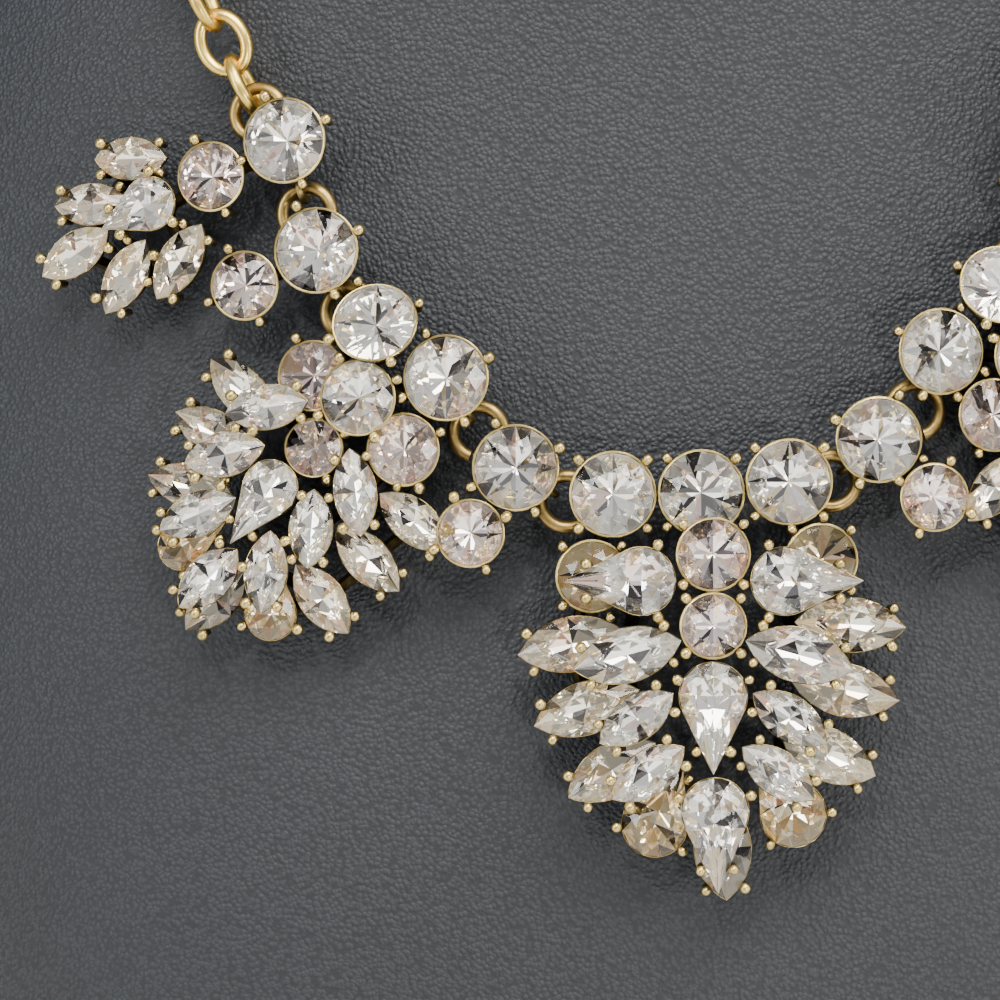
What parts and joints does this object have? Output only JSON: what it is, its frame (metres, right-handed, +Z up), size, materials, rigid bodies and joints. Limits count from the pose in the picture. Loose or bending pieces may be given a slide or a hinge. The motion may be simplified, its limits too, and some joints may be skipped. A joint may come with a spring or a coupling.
{
  "type": "bib necklace on neck bust",
  "caption": "Bib necklace of stone-set cluster castings joined by jump rings, with a link chain to a clasp behind the neck, worn on a plain covered neck bust.",
  "frame": {"origin": "middle of the bust's flat base", "axes": "+Z up along the neck, -Y out of the chest, +X to the right as seen from the front"},
  "size_m": [0.2044, 0.1311, 0.262],
  "materials": {
    "setting_metal": "pale antique gold plating, worn and darkened in the recesses",
    "ring_metal": "antique gold plating, satin",
    "chain_metal": "warm gold plating, polished",
    "stones": "faceted clear crystal, foil backed",
    "bust_cover": "pebble-grained leatherette"
  },
  "bodies": {
    "root": {"neck_bust": "bust_cover", "setting_centre": "setting_metal", "setting_inner_left": "setting_metal", "setting_inner_right": "setting_metal", "setting_side_left": "setting_metal", "setting_side_right": "setting_metal", "setting_outer_left": "setting_metal", "setting_outer_right": "setting_metal", "setting_end_left": "setting_metal", "setting_end_right": "setting_metal", "jump_ring_1_left": "ring_metal", "jump_ring_1_right": "ring_metal", "jump_ring_2_left": "ring_metal", "jump_ring_2_right": "ring_metal", "jump_ring_3_left": "ring_metal", "jump_ring_3_right": "ring_metal", "jump_ring_4_left": "ring_metal", "jump_ring_4_right": "ring_metal", "jump_ring_5_left": "ring_metal", "jump_ring_5_right": "ring_metal", "chain_left": "chain_metal", "chain_right": "chain_metal", "clasp": "chain_metal", "stone_centre_top_left": "stones", "stone_centre_top_right": "stones", "stone_centre_top_middle": "stones", "stone_centre_column_high": "stones", "stone_centre_column_low": "stones", "stone_centre_wing_pear_left": "stones", "stone_centre_wing_pear_right": "stones", "stone_centre_middle_pear": "stones", "stone_centre_drop_pear": "stones", "stone_side_left_big_low": "stones", "stone_side_left_big_high": "stones", "stone_side_left_round_top": "stones", "stone_side_left_round_outer": "stones", "stone_side_left_round_inner": "stones", "stone_side_left_round_small": "stones", "stone_side_left_pear": "stones", "stone_side_right_big_low": "stones", "stone_side_right_big_high": "stones", "stone_side_right_round_top": "stones", "stone_side_right_round_outer": "stones", "stone_side_right_round_inner": "stones", "stone_side_right_round_small": "stones", "stone_side_right_pear": "stones", "stone_inner_left_big": "stones", "stone_inner_left_small": "stones", "stone_inner_right_big": "stones", "stone_inner_right_small": "stones", "stone_outer_left_big": "stones", "stone_outer_left_small": "stones", "stone_outer_right_big": "stones", "stone_outer_right_small": "stones", "stone_end_left_big": "stones", "stone_end_left_small": "stones", "stone_end_left_pear": "stones", "stone_end_right_big": "stones", "stone_end_right_small": "stones", "stone_end_right_pear": "stones"}
  },
  "joints": []
}
